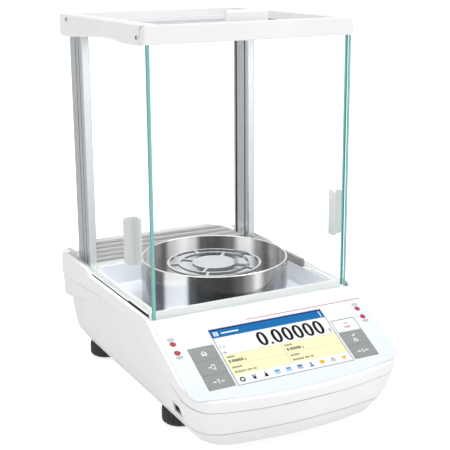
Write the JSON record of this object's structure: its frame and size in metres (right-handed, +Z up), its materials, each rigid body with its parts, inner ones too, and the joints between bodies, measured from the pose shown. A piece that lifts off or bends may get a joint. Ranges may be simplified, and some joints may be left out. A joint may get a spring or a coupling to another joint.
{
  "type": "analytical balance",
  "caption": "Analytical balance with a sloped touch display, glass draft shield with sliding doors, open-work pan in a draught ring, and levelling feet.",
  "frame": {"origin": "on the bench, under the axis of the weighing pan, which is the middle of the footprint", "axes": "+Z up, -Y towards the operator and the display, +X to the operator's right"},
  "size_m": [0.2172, 0.333, 0.3555],
  "materials": {
    "housing_white": "fine satin texture",
    "housing_lower_white": "fine satin texture",
    "chamber_pale_grey": "satin",
    "tray_blue_grey": "semi-gloss paint",
    "baffle_taupe": "satin",
    "satin_aluminium": "satin anodised extrusion",
    "cast_aluminium": "as cast",
    "polished_steel": "polished",
    "clear_glass": "clear, polished edges",
    "grip_grey": "satin",
    "overlay_white": "printed film",
    "screen": "lit colour screen",
    "key_grey": "printed film",
    "key_white": "printed film",
    "sensor_red": "translucent window",
    "circuit_board": "solder resist",
    "black_plastic": "satin",
    "foot_black": "fluted, satin",
    "brass": "turned",
    "zinc": "zinc plated"
  },
  "bodies": {
    "base": {"upper_housing": "housing_white", "top_frame": "housing_white", "front_bar": "housing_white", "lower_housing": "housing_lower_white", "chamber_frame": "chamber_pale_grey", "chamber_tray": "tray_blue_grey", "rear_baffle": "baffle_taupe", "right_door_sill": "baffle_taupe", "left_post": "satin_aluminium", "right_post": "satin_aluminium", "base_plate": "cast_aluminium", "weighing_cell": "cast_aluminium", "pan_spindle": "polished_steel", "front_glass": "clear_glass", "rear_glass": "clear_glass", "level_vial": "clear_glass", "panel_overlay": "overlay_white", "lcd_screen": "screen", "left_upper_sensor": "sensor_red", "left_lower_sensor": "sensor_red", "right_upper_sensor": "sensor_red", "right_lower_sensor": "sensor_red", "main_board": "circuit_board", "display_board": "circuit_board", "level_housing": "black_plastic", "rear_panel": "black_plastic", "dc_socket": "black_plastic", "serial_port": "zinc", "ethernet_port": "zinc", "side_usb_port": "zinc", "frame_screw_left_front": "zinc", "frame_screw_left_rear": "zinc", "frame_screw_right_front": "zinc", "frame_screw_right_rear": "zinc"},
    "left_door": {"left_door_glass": "clear_glass", "left_door_grip": "grip_grey"},
    "right_door": {"right_door_glass": "clear_glass", "right_door_grip": "grip_grey"},
    "top_door": {"top_door_glass": "clear_glass", "top_door_handle": "housing_white"},
    "pan": {"weighing_pan": "polished_steel"},
    "draught_ring": {"shield_ring": "polished_steel"},
    "calibration_lift": {"calibration_weight": "brass"},
    "key_home_cap": {"key_home": "key_grey"},
    "key_print_cap": {"key_print": "key_grey"},
    "key_tare_cap": {"key_tare": "key_grey"},
    "key_power_cap": {"key_power": "key_white"},
    "key_enter_cap": {"key_enter": "key_grey"},
    "key_zero_cap": {"key_zero": "key_grey"},
    "stem_front_left": {"foot_stem_front_left": "zinc"},
    "wheel_front_left": {"foot_wheel_front_left": "foot_black"},
    "stem_front_right": {"foot_stem_front_right": "zinc"},
    "wheel_front_right": {"foot_wheel_front_right": "foot_black"},
    "stem_rear_left": {"foot_stem_rear_left": "zinc"},
    "wheel_rear_left": {"foot_wheel_rear_left": "foot_black"},
    "stem_rear_right": {"foot_stem_rear_right": "zinc"},
    "wheel_rear_right": {"foot_wheel_rear_right": "foot_black"}
  },
  "joints": [
    {"name": "left_door_slide", "type": "slide", "parent": "base", "child": "left_door", "axis": [0, 1, 0], "range_m": [0, 0.128]},
    {"name": "right_door_slide", "type": "slide", "parent": "base", "child": "right_door", "axis": [0, 1, 0], "range_m": [0, 0.128]},
    {"name": "top_door_slide", "type": "slide", "parent": "base", "child": "top_door", "axis": [0, 1, 0], "range_m": [0, 0.12]},
    {"name": "pan_lift", "type": "slide", "parent": "base", "child": "pan", "axis": [0, 0, 1], "range_m": [0, 0.06]},
    {"name": "draught_ring_lift", "type": "slide", "parent": "base", "child": "draught_ring", "axis": [0, 0, 1], "range_m": [0, 0.05]},
    {"name": "calibration_weight_lift", "type": "slide", "parent": "base", "child": "calibration_lift", "axis": [0, 0, 1], "range_m": [0, 0.004]},
    {"name": "key_home_press", "type": "slide", "parent": "base", "child": "key_home_cap", "axis": [0, 0.4648, -0.8854], "range_m": [0, 0.0004], "stiffness_N_per_m": 600},
    {"name": "key_print_press", "type": "slide", "parent": "base", "child": "key_print_cap", "axis": [0, 0.4648, -0.8854], "range_m": [0, 0.0004], "stiffness_N_per_m": 600},
    {"name": "key_tare_press", "type": "slide", "parent": "base", "child": "key_tare_cap", "axis": [0, 0.4648, -0.8854], "range_m": [0, 0.0004], "stiffness_N_per_m": 600},
    {"name": "key_power_press", "type": "slide", "parent": "base", "child": "key_power_cap", "axis": [0, 0.4648, -0.8854], "range_m": [0, 0.0004], "stiffness_N_per_m": 600},
    {"name": "key_enter_press", "type": "slide", "parent": "base", "child": "key_enter_cap", "axis": [0, 0.4648, -0.8854], "range_m": [0, 0.0004], "stiffness_N_per_m": 600},
    {"name": "key_zero_press", "type": "slide", "parent": "base", "child": "key_zero_cap", "axis": [0, 0.4648, -0.8854], "range_m": [0, 0.0004], "stiffness_N_per_m": 600},
    {"name": "foot_travel_front_left", "type": "slide", "parent": "base", "child": "stem_front_left", "axis": [0, 0, 1], "range_m": [-0.00313, 0.00063]},
    {"name": "foot_turn_front_left", "type": "hinge", "parent": "stem_front_left", "child": "wheel_front_left", "pos_m": [-0.064, -0.057, 0], "axis": [0, 0, 1], "range_deg": [-905, 185]},
    {"name": "foot_travel_front_right", "type": "slide", "parent": "base", "child": "stem_front_right", "axis": [0, 0, 1], "range_m": [-0.00313, 0.00063]},
    {"name": "foot_turn_front_right", "type": "hinge", "parent": "stem_front_right", "child": "wheel_front_right", "pos_m": [0.064, -0.057, 0], "axis": [0, 0, 1], "range_deg": [-905, 185]},
    {"name": "foot_travel_rear_left", "type": "slide", "parent": "base", "child": "stem_rear_left", "axis": [0, 0, 1], "range_m": [-0.00313, 0.00063]},
    {"name": "foot_turn_rear_left", "type": "hinge", "parent": "stem_rear_left", "child": "wheel_rear_left", "pos_m": [-0.064, 0.122, 0], "axis": [0, 0, 1], "range_deg": [-905, 185]},
    {"name": "foot_travel_rear_right", "type": "slide", "parent": "base", "child": "stem_rear_right", "axis": [0, 0, 1], "range_m": [-0.00313, 0.00063]},
    {"name": "foot_turn_rear_right", "type": "hinge", "parent": "stem_rear_right", "child": "wheel_rear_right", "pos_m": [0.064, 0.122, 0], "axis": [0, 0, 1], "range_deg": [-905, 185]}
  ],
  "couplings": [
    {"joint": "foot_turn_front_left", "follows": "foot_travel_front_left", "rad_per_m": 5026.5},
    {"joint": "foot_turn_front_right", "follows": "foot_travel_front_right", "rad_per_m": 5026.5},
    {"joint": "foot_turn_rear_left", "follows": "foot_travel_rear_left", "rad_per_m": 5026.5},
    {"joint": "foot_turn_rear_right", "follows": "foot_travel_rear_right", "rad_per_m": 5026.5}
  ]
}
